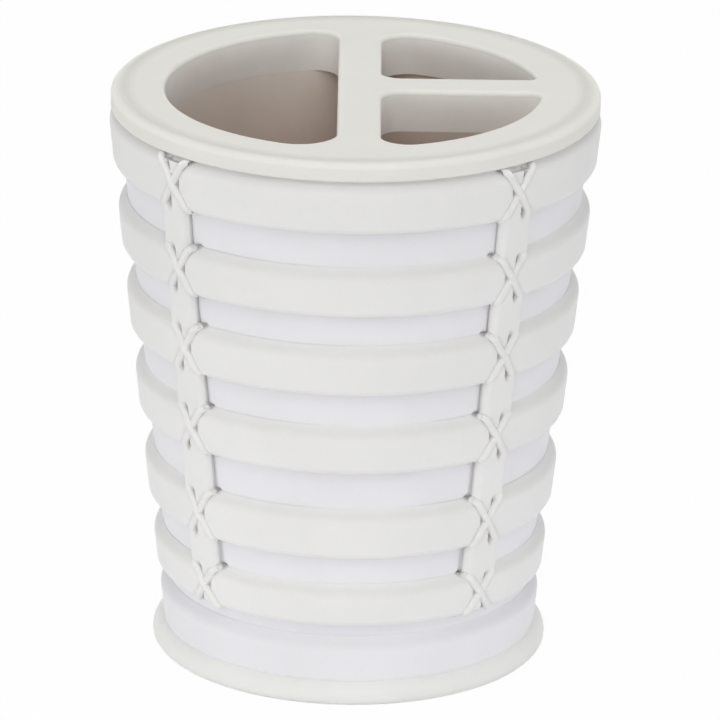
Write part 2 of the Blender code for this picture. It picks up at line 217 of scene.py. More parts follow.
# Inside the cup: a warm tone near the mouth, painted darker and browner further down as painted
# shade in the depth of the cup.
INSIDE_PALE = (0.84, 0.775, 0.72)
INSIDE_SHADED = (0.48, 0.34, 0.26)
INSIDE_SHADED_HEIGHT = 0.070

# How dark the painted shade is: beside a cord, beside an upright, on a ledge, under a hoop (a
# painted shadow), in the valley
PAINTED_SHADE_LAYER = "painted_shade"
GROOVE_SHADE = 0.15
CREASE_SHADE = 0.2
LEDGE_SHADE = 0.075
FOOT_SHADE = 0.085
FOOT_REACH = 0.0018
RIM_VALLEY_SHADE = 0.11
RIM_VALLEY_SHADE_REACH = 3 * RIM_VALLEY_REACH
RIM_VALLEY_SHADE_PLACES = (0.15, 0.45, 0.55, 0.85)

# Finish: roughness and gloss, and the painted shade that the body reaches toward its top, so that
# its low parts look lit by light bounced from the floor
CAST_ROUGHNESS = 0.6
WALL_ROUGHNESS = 0.65
TOP_ROUGHNESS = 0.5
INSIDE_ROUGHNESS = 0.7
ROUGHNESS_SPREAD = 0.05
CAST_SPECULAR = 0.35
INSIDE_SPECULAR = 0.3
UPPER_PAINTED_SHADE = 0.905
UPPER_PAINTED_SHADE_SHARE = 0.9

# Noises: scale in turns per metre, detail and roughness
CLOUDS = (55.0, 3.0, 0.55)
SPECKLE = (1500.0, 2.0, 0.6)
GRAIN = (2600.0, 2.0, 0.5)
SOFT_DENTS = (320.0, 2.0, 0.5)
STAINS = (70.0, 3.0, 0.6)
INSIDE_GRAIN = (1800.0, 2.0, 0.5)

# Where a noise's colours lie: value and colour
CLOUD_SPAN = (0.30, 0.70)
CLOUD_SHADE = 0.965
SPECKLE_STOPS = ((0.28, (0.98, 0.98, 0.975)), (0.40, WHITE))
STAIN_STOPS = ((0.30, (0.94, 0.92, 0.90)), (0.70, WHITE))

# Bumps: strength and height
GRAIN_BUMP = (0.25, 0.00006)
SOFT_DENT_BUMP = (0.25, 0.0002)
INSIDE_BUMP = (0.3, 0.00008)

# Stage: the world's brightness by the upward share of the direction, then the lamps with
# place, width, power and colour
FLOOR_SIZE = 8.0
FLOOR_COLOUR = (0.91, 0.90, 0.92)
FLOOR_WHITE = 0.97
WORLD_LEVELS = ((0.00, 2.10), (0.12, 1.80), (0.30, 0.24), (0.85, 0.24))
LIGHT_AIM = (0, 0, 0.05)
LIGHTS = (
    ("overhead", (0.0, -0.05, 1.6), 0.6, 5.8, (1.0, 0.99, 0.97)),
    ("key", (-0.05, -1.00, 1.22), 1.2, 6.6, (1.0, 0.995, 0.98)),
    ("behind", (0.0, 0.80, 1.40), 0.8, 3.0, (1.0, 0.995, 0.99)),
    ("left", (-1.5, -0.8, 0.25), 1.0, 3.0, (1.0, 0.995, 1.0)),
    ("right", (1.6, -0.5, 0.3), 1.0, 1.5, (0.94, 0.94, 1.0)),
)

# The photograph's camera
CAMERA_ELEVATION = math.radians(19.932)
CAMERA_DISTANCE = 1.4914
CAMERA_ROLL = math.radians(0.81)
TARGET = Vector((0.00147, 0.0, 0.05464))
LENS = 401.2
SENSOR = 36.0


# Places read from the frame

PLATE_LOW, PLATE_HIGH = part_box("top_plate")
TOP, RIM_RADIUS, PLUG_BOTTOM = PLATE_HIGH.z, PLATE_HIGH.x, PLATE_LOW.z
CUP_LOW, CUP_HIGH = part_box("cup")
CUP_BOTTOM, MOUTH = CUP_LOW.z, CUP_HIGH.z
BASE_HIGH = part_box("base_dish")[1]
BASE_RADIUS, BASE_TOP = BASE_HIGH.x, BASE_HIGH.z
STAKE_LOW, STAKE_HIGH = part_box("stake_1")
STAKE_BOTTOM, STAKE_TOP = STAKE_LOW.z, STAKE_HIGH.z + STAKE_RISE
SLOT_BOTTOM, SLOT_TOP = STAKE_BOTTOM + EDGE_STEP, STAKE_TOP - EDGE_STEP
HOOP_BOXES = [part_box(node) for node in HOOP_NODES]
HOOP_LINE = np.polyfit([high.z for _, high in HOOP_BOXES], [high.x for _, high in HOOP_BOXES], 2)
LASHED_SPANS = [(low.z - drop, high.z) for (low, high), drop in zip(HOOP_BOXES, FOOT_DROPS)]
LASHED_SPANS[0] = (LASHED_SPANS[0][0], LASHED_SPANS[0][1] + FIRST_HOOP_RISE)
HOOP_SPANS = LASHED_SPANS + [(BASE_TOP + BAND_GAP, HOOP_BOXES[-1][1].z)]


def hoop_radius(height):
    return float(np.polyval(HOOP_LINE, height))


def wall_radius(height):
    return hoop_radius(height) - RECESS_DEPTH


def bore_radius(height):
    return wall_radius(height) - CUP_WALL


def rebate_radius(height):
    return wall_radius(height) - MOUTH_WALL


PLUG_RADIUS = rebate_radius(PLUG_BOTTOM) - LID_GAP


def stake_angles():
    angles = []
    for side in (LATTICE_TURN, LATTICE_TURN + math.pi):
        angles.append(side - STAKE_PAIR_ANGLE / 2)
        angles.append(side + STAKE_PAIR_ANGLE / 2)
    return angles


def inner_side(angle):
    """1 or -1: the side of an upright that faces the middle of the front or the back."""
    return math.copysign(1, math.sin(2 * angle))


def warped(across, number, height):
    """Distances across an upright, moved near its inner side, which wanders with the height."""
    middles = [(upper[0] + lower[1]) / 2 for upper, lower in zip(LASHED_SPANS, LASHED_SPANS[1:])]
    offset = np.interp(height, middles[::-1], SIDE_OFFSETS[number % 2][::-1])
    side = (1, -1)[number % 2]
    return across + side * offset * np.exp(-((across * side - STAKE_WIDTH / 2) / SIDE_REACH) ** 2)


def warped_angles(angles, height):
    """Angles drawn in near the uprights, to keep the distances across them at every height."""
    result = angles.copy()
    middle = wall_radius(TOP / 2)
    for number, stake in enumerate(stake_angles()):
        across = wrapped(angles - stake) * middle
        near = np.abs(across) < CROSSING_REACH
        across = across[near]
        share = np.clip((CROSSING_REACH - np.abs(across)) / (CROSSING_REACH - STEADY_REACH), 0, 1)
        share = share ** 2 * (3 - 2 * share)
        drawn = warped(across, number, height) * (1 + (middle / hoop_radius(height) - 1) * share)
        result[near] += (drawn - across) / middle
    return result


# Node material helpers

def new_material(name):
    material = bpy.data.materials.new(name)
    material.use_nodes = True
    tree = material.node_tree
    return material, tree, tree.nodes["Principled BSDF"]


def link(tree, source, target):
    tree.links.new(source, target)


def object_place(tree):
    return tree.nodes.new("ShaderNodeTexCoord").outputs["Object"]


def upward(tree, place):
    split = tree.nodes.new("ShaderNodeSeparateXYZ")
    link(tree, place, split.inputs["Vector"])
    return split.outputs["Z"]


def noise_node(tree, place, scale, detail, roughness):
    node = tree.nodes.new("ShaderNodeTexNoise")
    node.inputs["Scale"].default_value = scale
    node.inputs["Detail"].default_value = detail
    node.inputs["Roughness"].default_value = roughness
    link(tree, place, node.inputs["Vector"])
    return node.outputs["Fac"]


def ramp(tree, value, stops):
    node = tree.nodes.new("ShaderNodeValToRGB")
    elements = node.color_ramp.elements
    while len(elements) < len(stops):
        elements.new(0.5)
    for element, (position, colour) in zip(elements, stops):
        element.position = position
        element.color = (*colour, 1.0)
    link(tree, value, node.inputs["Fac"])
    return node.outputs["Color"]


def map_range(tree, value, low, high, to_low, to_high):
    node = tree.nodes.new("ShaderNodeMapRange")
    node.inputs["From Min"].default_value = low
    node.inputs["From Max"].default_value = high
    node.inputs["To Min"].default_value = to_low
    node.inputs["To Max"].default_value = to_high
    link(tree, value, node.inputs["Value"])
    return node.outputs["Result"]


def mix(tree, factor, first, second, blend="MIX"):
    """A colour mix of sockets or plain values."""
    node = tree.nodes.new("ShaderNodeMix")
    node.data_type = "RGBA"
    node.blend_type = blend
    for socket, value in ((0, factor), (6, first), (7, second)):
        if isinstance(value, bpy.types.NodeSocket):
            link(tree, value, node.inputs[socket])
        elif socket == 0:
            node.inputs[socket].default_value = value
        else:
            node.inputs[socket].default_value = (*value, 1.0)
    return node.outputs[2]


def bump(tree, shader, height, strength, distance, below=None):
    node = tree.nodes.new("ShaderNodeBump")
    node.inputs["Strength"].default_value = strength
    node.inputs["Distance"].default_value = distance
    link(tree, height, node.inputs["Height"])
    if below:
        link(tree, below, node.inputs["Normal"])
    link(tree, node.outputs["Normal"], shader.inputs["Normal"])
    return node.outputs["Normal"]


def shade(colour, factor):
    return tuple(channel * factor for channel in colour)


def cast_material(name, colour, roughness, painted_darkening=None):
    """Matte cast body: faint clouding, fine speckle, a bisque-like grain, painted shade toward its
    top, and, where a shade colour is given, painted shade in its dents and creases.
    """
    material, tree, shader = new_material(name)
    place = object_place(tree)
    clouds = noise_node(tree, place, *CLOUDS)
    speckle = noise_node(tree, place, *SPECKLE)
    grain = noise_node(tree, place, *GRAIN)
    dents = noise_node(tree, place, *SOFT_DENTS)
    low, high = CLOUD_SPAN
    clouded = ramp(tree, clouds, [(low, shade(colour, CLOUD_SHADE)), (high, colour)])
    body = mix(tree, 1.0, clouded, ramp(tree, speckle, SPECKLE_STOPS), "MULTIPLY")
    # Painted shade: the body grows darker toward its top and stays lighter low down, where light
    # bounced from the floor falls.
    height = map_range(tree, upward(tree, place), 0.0, TOP * UPPER_PAINTED_SHADE_SHARE, 0.0, 1.0)
    painted_upper_shade = ramp(tree, height, [(0.0, WHITE), (1.0, shade(WHITE, UPPER_PAINTED_SHADE))])
    body = mix(tree, 1.0, body, painted_upper_shade, "MULTIPLY")
    # Painted shade: the body is mixed toward the shade colour as far as the mesh's shade layer
    # says, in dents, grooves and creases, on ledges, and as painted shadow under the hoops.
    if painted_darkening:
        painted_shade = tree.nodes.new("ShaderNodeAttribute")
        painted_shade.attribute_name = PAINTED_SHADE_LAYER
        body = mix(tree, painted_shade.outputs["Fac"], body, painted_darkening)
    link(tree, body, shader.inputs["Base Color"])
    varied = map_range(tree, clouds, low, high,
                       roughness - ROUGHNESS_SPREAD, roughness + ROUGHNESS_SPREAD)
    link(tree, varied, shader.inputs["Roughness"])
    shader.inputs["Specular IOR Level"].default_value = CAST_SPECULAR
    coarse = bump(tree, shader, dents, *SOFT_DENT_BUMP)
    bump(tree, shader, grain, *GRAIN_BUMP, coarse)
    return material


def add_rim_valley_shade(material):
    """Painted shade: a soft, slightly darker line in the valley round the top."""
    tree = material.node_tree
    socket = tree.nodes["Principled BSDF"].inputs["Base Color"]
    body = socket.links[0].from_socket
    flat = tree.nodes.new("ShaderNodeVectorMath")
    flat.operation = "MULTIPLY"
    flat.inputs[1].default_value = (1.0, 1.0, 0.0)
    link(tree, object_place(tree), flat.inputs[0])
    radius = tree.nodes.new("ShaderNodeVectorMath")
    radius.operation = "LENGTH"
    link(tree, flat.outputs["Vector"], radius.inputs[0])
    place = map_range(tree, radius.outputs["Value"], RIM_VALLEY_RADIUS - RIM_VALLEY_SHADE_REACH,
                      RIM_VALLEY_RADIUS + RIM_VALLEY_SHADE_REACH, 0, 1)
    valley_darkening = shade(WHITE, 1 - RIM_VALLEY_SHADE)
    stops = list(zip(RIM_VALLEY_SHADE_PLACES, (WHITE, valley_darkening, valley_darkening, WHITE)))
    link(tree, mix(tree, 1.0, body, ramp(tree, place, stops), "MULTIPLY"), socket)


def inner_material(name, colour, shaded_colour, roughness, top, bottom):
    """The cast body inside the cup: paler near the mouth, and painted darker and browner further
    down as painted shade.
    """
    material, tree, shader = new_material(name)
    place = object_place(tree)
    depth = map_range(tree, upward(tree, place), bottom, top, 0.0, 1.0)
    stains = noise_node(tree, place, *STAINS)
    grain = noise_node(tree, place, *INSIDE_GRAIN)
    body = ramp(tree, depth, [(0.0, shaded_colour), (1.0, colour)])
    stained = mix(tree, 1.0, body, ramp(tree, stains, STAIN_STOPS), "MULTIPLY")
    link(tree, stained, shader.inputs["Base Color"])
    shader.inputs["Roughness"].default_value = roughness
    shader.inputs["Specular IOR Level"].default_value = INSIDE_SPECULAR
    bump(tree, shader, grain, *INSIDE_BUMP)
    return material


# Mesh helpers

def place_mesh(name, mesh, *materials):
    obj = bpy.data.objects.new(name, mesh)
    bpy.context.scene.collection.objects.link(obj)
    for material in materials:
        mesh.materials.append(material)
    return obj


def arc(across, height, radius, start, end, steps=FILLET_STEPS):
    """Points of an arc between two angles in degrees."""
    points = []
    for step in range(steps + 1):
        angle = math.radians(start + (end - start) * step / steps)
        points.append((across + radius * math.cos(angle), height + radius * math.sin(angle)))
    return points


def line(start, end, steps):
    """Points between two others, without the first."""
    points = []
    for step in range(1, steps + 1):
        share = step / steps
        across = start[0] + (end[0] - start[0]) * share
        points.append((across, start[1] + (end[1] - start[1]) * share))
    return points


def wrapped(angles):
    """Angles brought into the half turn either side of zero."""
    return (angles + math.pi) % (2 * math.pi) - math.pi


def lattice_columns():
    """Angles of the columns of a turned piece, close together at the uprights."""
    near = CROSSING_REACH / hoop_radius(TOP)
    fine = np.linspace(-near, near, CROSSING_COLUMNS)
    angles = []
    stakes = sorted(stake_angles())
    for stake, following in zip(stakes, stakes[1:] + [stakes[0] + 2 * math.pi]):
        angles.append(stake + fine)
        angles.append(np.linspace(stake + near, following - near, BETWEEN_COLUMNS + 2)[1:-1])
    return np.concatenate(angles)


def slot_columns():
    """The lattice's columns, with pairs of them at the sides of the uprights' slots."""
    angles = lattice_columns()
    half = SLOT_HALF_WIDTH / wall_radius(TOP / 2)
    step = EDGE_STEP / wall_radius(TOP / 2)
    for stake in stake_angles():
        off = np.abs(np.abs(wrapped(angles - stake)) - half)
        angles = angles[off > SLOT_CLEAR_STEPS * step]
        extra = [stake + side * half + shift for side in (-1, 1) for shift in (-step, step)]
        angles = np.concatenate((angles, extra))
    return np.sort(angles % (2 * math.pi))


def in_slots(angles):
    half = SLOT_HALF_WIDTH / wall_radius(TOP / 2)
    inside = np.zeros(len(angles), bool)
    for stake in stake_angles():
        inside |= np.abs(wrapped(angles - stake)) < half
    return inside


def grid_mesh(name, rings, loop_rows, painted_shades=None):
    """A smooth closed mesh through closed rings of points, each an array (columns, 3)."""
    rows, columns = len(rings), len(rings[0])
    below = np.arange(1, rows + 1) % rows if loop_rows else np.arange(1, rows)
    row = np.arange(len(below))[:, None]
    column = np.arange(columns)[None, :]
    beside = (column + 1) % columns
    corners = [row * columns + column, below[:, None] * columns + column,
               below[:, None] * columns + beside, row * columns + beside]
    faces = np.stack(corners, 2).reshape(-1, 4)
    mesh = bpy.data.meshes.new(name)
    mesh.from_pydata(np.concatenate(rings), [], faces)
    if painted_shades is not None:
        layer = mesh.attributes.new(PAINTED_SHADE_LAYER, "FLOAT", "POINT")
        layer.data.foreach_set("value", np.concatenate(painted_shades).astype(np.float32))
    shape = bmesh.new()
    shape.from_mesh(mesh)
    if not loop_rows:
        shape.verts.ensure_lookup_table()
        shape.faces.new(shape.verts[:columns])
        shape.faces.new(shape.verts[-columns:])
    bmesh.ops.recalc_face_normals(shape, faces=shape.faces)
    shape.to_mesh(mesh)
    shape.free()
    mesh.shade_smooth()
    return mesh


def ring(radii, angles, height):
    radii = np.broadcast_to(radii, angles.shape)
    heights = np.broadcast_to(height, angles.shape)
    return np.stack((radii * np.cos(angles), radii * np.sin(angles), heights), 1)


def turned_rings(profile, angles):
    """Rings at (radius, height) points, where a radius of zero is held just off the axis."""
    return [ring(max(radius, EDGE_STEP), angles, height) for radius, height in profile]


def revolve(name, profile):
    """A mesh turned about Z from (radius, height) points that start and end on the axis."""
    angles = np.arange(SEGMENTS) * (2 * math.pi / SEGMENTS)
    return grid_mesh(name, turned_rings(profile, angles), False)


def join_rings(shape, rings):
    """Adds the faces between rings of vertices, and those that close both ends."""
    for first, second in zip(rings, rings[1:]):
        for i, corner in enumerate(first):
            j = (i + 1) % len(first)
            shape.faces.new((corner, first[j], second[j], second[i]))
    shape.faces.new(rings[0][::-1])
    shape.faces.new(rings[-1])


def finished_mesh(name, shape):
    """The bmesh as a mesh, with its faces turned outward."""
    bmesh.ops.recalc_face_normals(shape, faces=shape.faces)
    mesh = bpy.data.meshes.new(name)
    shape.to_mesh(mesh)
    shape.free()
    return mesh


def cut(obj, cutter):
    boolean = obj.modifiers.new("Cut", "BOOLEAN")
    boolean.operation = "DIFFERENCE"
    boolean.solver = "EXACT"
    boolean.object = cutter


def apply_modifiers(obj):
    graph = bpy.context.evaluated_depsgraph_get()
    mesh = bpy.data.meshes.new_from_object(obj.evaluated_get(graph))
    obj.modifiers.clear()
    obj.data = mesh


def paint_inside(mesh, is_inside):
    """Gives the second material to the faces whose middle's radius and height pass a test."""
    for face in mesh.polygons:
        radius = math.hypot(face.center.x, face.center.y)
        face.material_index = 1 if is_inside(radius, face.center.z) else 0


def finish_piece(obj, body, slot, *nodes):
    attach(obj, body)
    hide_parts(*nodes)


# Relief that the hoops, the uprights and the cup's wall share, with painted shade in its grooves
# and dents

def waves(angles, height):
    """A sum of slow waves, as a hand-finished casting varies."""
    generator = np.random.default_rng(WOBBLE_SEED)
    radius = hoop_radius(height)
    value = np.zeros(len(angles))
    for _ in range(WOBBLE_WAVES):
        wave = generator.normal(size=3) * WOBBLE_TURNS_PER_METRE
        place = wave[0] * radius * np.cos(angles) + wave[1] * radius * np.sin(angles)
        place += wave[2] * height
        value += np.sin(place + generator.uniform(0, 2 * math.pi))
    return value / WOBBLE_WAVES ** 0.5


def dent(across, up, half_width, half_height):
    return np.exp(-((across / half_width) ** 2 + (up / half_height) ** 2) ** DENT_POWER)


def dented(depth, painted_shade, hole, dip):
    """The relief with one more hole in it, and painted shade in the hole in step with its depth.
    """
    return depth + dip * hole, np.maximum(painted_shade, dip / DEEP_PIT * hole)


def relief(angles, height):
    """How far the surface lies below its plain form at one height, and how much painted shade it
    takes in dents and in the grooves beside the cords.
    """
    radius = hoop_radius(height)
    depth = WOBBLE * (waves(angles, height) + 1)
    painted_shade = np.zeros(len(angles))
    for turn, level, half_width, half_height, dip in NICKS:
        hole = dent(wrapped(angles - turn) * radius, height - level, half_width, half_height)
        depth, painted_shade = dented(depth, painted_shade, hole, dip)
    for bottom, top in LASHED_SPANS:
        if not bottom - CROSSING_MARGIN < height < top + CROSSING_MARGIN:
            continue
        middle = (bottom + top) / 2
        slope = LASHING_REACH / ((top - bottom) / 2 + CORD_REACH)
        inside = min(height - bottom, top - height) / ROW_STEP / EDGE_ROWS
        share = min(max(inside, 0.0), 1.0)
        levels = {"top": top, "middle": middle, "bottom": bottom}
        for stake in stake_angles():
            across = wrapped(angles - stake) * radius * inner_side(stake) - LASHING_SHIFT
            for turn in (-1, 1):
                off = np.abs(across - turn * slope * (height - middle)) / math.hypot(1, slope)
                groove = share * np.exp(-((off - CORD_RADIUS) / GROOVE_HALF_WIDTH) ** 2)
                depth += GROOVE_DEPTH * groove
                # Painted shade along the grooves beside the cords.
                painted_shade = np.maximum(painted_shade, GROOVE_SHADE * groove)
            for place, level, rise, half_width, half_height, dip in DENTS:
                up = height - levels[level] - rise
                hole = dent(across - place, up, half_width, half_height)
                depth, painted_shade = dented(depth, painted_shade, hole, dip)
    return depth, painted_shade


# Cup

def cup_profile():
    """The inside and the mouth of the cup, down to where its outer wall starts, then its foot."""
    floor = CUP_BOTTOM + CUP_FLOOR
    ledge = PLUG_BOTTOM - EDGE_STEP
    corner = bore_radius(floor + CUP_INNER_FILLET) - CUP_INNER_FILLET
    upper = [(0, floor)] + line((0, floor), (corner, floor), FLAT_STEPS)
    upper += arc(corner, floor + CUP_INNER_FILLET, CUP_INNER_FILLET, -90, 0)[1:]
    upper += line(upper[-1], (bore_radius(ledge), ledge), BORE_STEPS)
    upper += line(upper[-1], (rebate_radius(ledge), ledge), SHORT_STEPS)
    lip = MOUTH - LIP_FILLET
    upper += line(upper[-1], (rebate_radius(lip), lip), MOUTH_STEPS)
    upper += arc(rebate_radius(lip) + LIP_FILLET, lip, LIP_FILLET, 180, 90)[1:]
    upper += arc(wall_radius(lip) - LIP_FILLET, lip, LIP_FILLET, 90, 0)
    foot = CUP_BOTTOM + CUP_FOOT_FILLET
    lower = arc(wall_radius(foot) - CUP_FOOT_FILLET, foot, CUP_FOOT_FILLET, 0, -90)
    lower.append((0, CUP_BOTTOM))
    return upper, lower


def stake_inner(height):
    """The radius at which an upright's inner face lies."""
    share = (height - STAKE_BOTTOM) / (STAKE_TOP - STAKE_BOTTOM)
    low = wall_radius(STAKE_BOTTOM) - STAKE_INLAY + SEAT_GAP
    high = wall_radius(STAKE_TOP) - STAKE_INLAY + SEAT_GAP
    return low + (high - low) * share


def behind_hoop(height):
    return any(low + HIDDEN_MARGIN < height < high - HIDDEN_MARGIN for low, high in HOOP_SPANS)


def wall_heights(start, end):
    """Heights of the outer wall's rows: fewer behind the hoops, in pairs at the slots' ends."""
    ends = (SLOT_BOTTOM, SLOT_TOP)
    heights = [level + shift for level in ends for shift in (-EDGE_STEP, EDGE_STEP)]
    even = np.linspace(start, end, round((start - end) / ROW_STEP))[1:-1]
    for row, height in enumerate(even):
        shown = row % HIDDEN_ROWS == 0 or not behind_hoop(height)
        if shown and min(abs(height - level) for level in ends) > 2 * EDGE_STEP:
            heights.append(height)
    return sorted(heights, reverse=True)


def wall_row(angles, slots, height):
    """A ring of the outer wall and its painted shade."""
    turned = warped_angles(angles, height)
    depth, painted_shade = relief(turned, height)
    # Painted shadow on the wall under each hoop.
    for bottom, _ in HOOP_SPANS:
        if height < bottom:
            painted_darkening = math.exp(-((bottom - height) / FOOT_REACH) ** 2)
            painted_shade = np.maximum(painted_shade, FOOT_SHADE * painted_darkening)
    if SLOT_BOTTOM < height < SLOT_TOP:
        for stake in stake_angles():
            off = np.abs(wrapped(angles - stake)) * wall_radius(height) - SLOT_HALF_WIDTH
            # The crease beside each upright: a real dip, with painted shade in it.
            crease = np.exp(-(off / CREASE_HALF_WIDTH) ** 2)
            depth += CREASE_DEPTH * crease
            painted_shade = np.maximum(painted_shade, CREASE_SHADE * crease)
        depth = np.where(slots, wall_radius(height) - stake_inner(height) + SEAT_GAP, depth)
    return ring(wall_radius(height) - depth, turned, height), painted_shade


def make_cup(outside, inside):
    """The cup, with the uprights' slots and the dents beside the cords in its outer wall, painted
    shade in them and beside the uprights, and painted shadow under the hoops.
    """
    upper, lower = cup_profile()
    angles = slot_columns()
    slots = in_slots(angles)
    wall = [wall_row(angles, slots, height) for height in wall_heights(upper[-1][1], lower[0][1])]
    rings = turned_rings(upper, angles) + [row for row, _ in wall] + turned_rings(lower, angles)
    clean = np.zeros(len(angles))
    painted_shades = [clean] * len(upper) + [painted_shade for _, painted_shade in wall] + [clean] * len(lower)
    mesh = grid_mesh("cup_body", rings, False, painted_shades)
    cup = place_mesh("cup_body", mesh, outside, inside)
    margin = MOUTH_WALL * MOUTH_WALL_SHARE
    paint_inside(mesh, lambda radius, height: radius < wall_radius(height) - margin)
    mesh.set_sharp_from_angle(angle=SHARP_ANGLE)
    finish_piece(cup, "holder", "cup", "cup")


# Base

def make_base(material):
    socket = wall_radius(BASE_TOP) + EDGE_STEP
    floor = CUP_BOTTOM - SEAT_GAP
    inner = BASE_RADIUS - BASE_EDGE - FOOT_RING
    profile = [(0, floor)] + line((0, floor), (socket, floor), FLAT_STEPS)
    profile += line(profile[-1], (socket, BASE_TOP), SHORT_STEPS)
    profile += arc(BASE_RADIUS - BASE_SHOULDER, BASE_TOP - BASE_SHOULDER, BASE_SHOULDER, 90, 0)
    profile += arc(BASE_RADIUS - BASE_EDGE, BASE_EDGE, BASE_EDGE, 0, -90)
    profile += line(profile[-1], (inner, 0), FOOT_STEPS)
    profile += line(profile[-1], (inner - FOOT_RECESS, FOOT_RECESS), SHORT_STEPS)
    profile += line(profile[-1], (FOOT_RECESS, FOOT_RECESS), FLAT_STEPS)
    profile.append((0, FOOT_RECESS))
    mesh = revolve("base_body", profile)
    base = place_mesh("base_body", mesh, material)
    mesh.set_sharp_from_angle(angle=SHARP_ANGLE)
    finish_piece(base, "holder", "base", "base_dish")


# Hoops

def hoop_profile(bottom, top):
    """A hoop's outline as (radius, height, how much the point takes of the relief)."""
    points = []
    for step in range(SHOULDER_STEPS + 1):
        share = (step / SHOULDER_STEPS) ** HOOP_SHOULDER_SPREAD
        height = top + HOOP_ROOT - (HOOP_ROOT + HOOP_SHOULDER) * share
        eased = share ** 2 / (share + HOOP_ROOT_SHARE) * (1 + HOOP_ROOT_SHARE)
        out = 1 - (1 - eased) ** HOOP_CROWN_POWER
        points.append((wall_radius(height) + RECESS_DEPTH * out, height, step > 0))
    undercut = BAND_UNDERCUT if bottom < BASE_TOP else HOOP_UNDERCUT
    face_top, face_bottom = top - HOOP_SHOULDER, bottom + undercut
    steps = round((face_top - face_bottom) / ROW_STEP)
    for step in range(1, steps + 1):
        height = face_top + (face_bottom - face_top) * step / steps
        points.append((hoop_radius(height), height, 1))
    for step in range(1, EDGE_STEPS + 1):
        angle = math.pi / 2 * step / EDGE_STEPS
        points.append((hoop_radius(bottom) - undercut * (1 - math.cos(angle)),
                       face_bottom - undercut * math.sin(angle), step < EDGE_STEPS))
    points.append((wall_radius(bottom) - SEAT_GAP, bottom, 0))
    points.append((wall_radius(top) - SEAT_GAP, top, 0))
    return points


def hoop_painted_shade(height, bottom, top):
    """Painted shade on a hoop's upper ledge, and painted shadow on its underside."""
    rise = (height - top + HOOP_SHOULDER) / (HOOP_SHOULDER + HOOP_ROOT)
    ledge = math.sin(math.pi * min(max(rise, 0), 1)) ** 2
    sunk = min(max((bottom + HOOP_UNDERCUT - height) / HOOP_UNDERCUT, 0), 1)
    return max(LEDGE_SHADE * ledge, FOOT_SHADE * sunk ** 2)


def make_hoops(material, band_material):
    angles = lattice_columns()
    for node, span in zip(HOOP_NODES, HOOP_SPANS):
        rings = []
        painted_shades = []
        for radius, height, share in hoop_profile(*span):
            depth, painted_shade = relief(angles, height)
            rings.append(ring(radius - depth * share, angles, height))
            painted_shades.append(np.maximum(painted_shade, hoop_painted_shade(height, *span)))
        mesh = grid_mesh(node + "_strap", rings, True, painted_shades)
        finish = band_material if node == "lower_band" else material
        strap = place_mesh(node + "_strap", mesh, finish)
        finish_piece(strap, "holder", "hoops", node)


# Uprights

def stake_section():
    """Half of an upright's outline: (distance from its middle, depth below the hoops' faces)."""
    half = STAKE_WIDTH / 2
    points = [(0.0, 0.0)] + line((0.0, 0.0), (half - STAKE_EDGE, 0.0), STAKE_FACE_STEPS)
    points += arc(half - STAKE_EDGE, -STAKE_EDGE, STAKE_EDGE, 90, 0)[1:]
    points = [(across, -drop) for across, drop in points]
    points += line(points[-1], (half - STAKE_UNDERCUT, RECESS_DEPTH), STAKE_SIDE_STEPS)
    return points


def stake_drop(height):
    """How far an upright's front lies below the hoops' faces: flush beside them, deeper behind."""
    drop = STAKE_FLUSH
    for bottom, top in LASHED_SPANS:
        depth = min(height - bottom - HOOP_UNDERCUT, top - height - HOOP_SHOULDER)
        drop = max(drop, min(depth, STAKE_HIDDEN))
    return drop


def make_stakes(material):
    half = stake_section()
    across = np.array([-point[0] for point in half[::-1]] + [point[0] for point in half[1:]])
    drops = np.array([point[1] for point in half[::-1]] + [point[1] for point in half[1:]])
    low = np.clip((drops - STAKE_EDGE) / (RECESS_DEPTH - STAKE_EDGE), 0, 1)
    back = STAKE_WIDTH / 2 - STAKE_UNDERCUT
    rows = round((STAKE_TOP - STAKE_BOTTOM) / ROW_STEP)
    for number, angle in enumerate(stake_angles()):
        rings = []
        painted_shades = []
        for row in range(rows + 1):
            height = STAKE_TOP + (STAKE_BOTTOM - STAKE_TOP) * row / rows
            turned = angle + warped(across, number, height) / hoop_radius(height)
            radii = hoop_radius(height) - np.maximum(drops, stake_drop(height))
            depth, painted_shade = relief(turned, height)
            front = ring(radii - depth * (drops < STAKE_EDGE), turned, height)
            # Painted shade down the upright's sides toward the wall, and on its hidden back.
            painted_shade = np.maximum(painted_shade, CREASE_SHADE * low)
            painted_shades.append(np.append(painted_shade, (CREASE_SHADE, CREASE_SHADE)))
            ends = angle + warped(np.array([back, -back]), number, height) / hoop_radius(height)
            rings.append(np.concatenate((front, ring(stake_inner(height), ends, height))))
        mesh = grid_mesh(f"upright_{number + 1}", rings, False, painted_shades)
        upright = place_mesh(f"upright_{number + 1}", mesh, material)
        mesh.set_sharp_from_angle(angle=STAKE_SHARP_ANGLE)
        finish_piece(upright, "holder", "stakes", f"stake_{number + 1}")


# Lashings

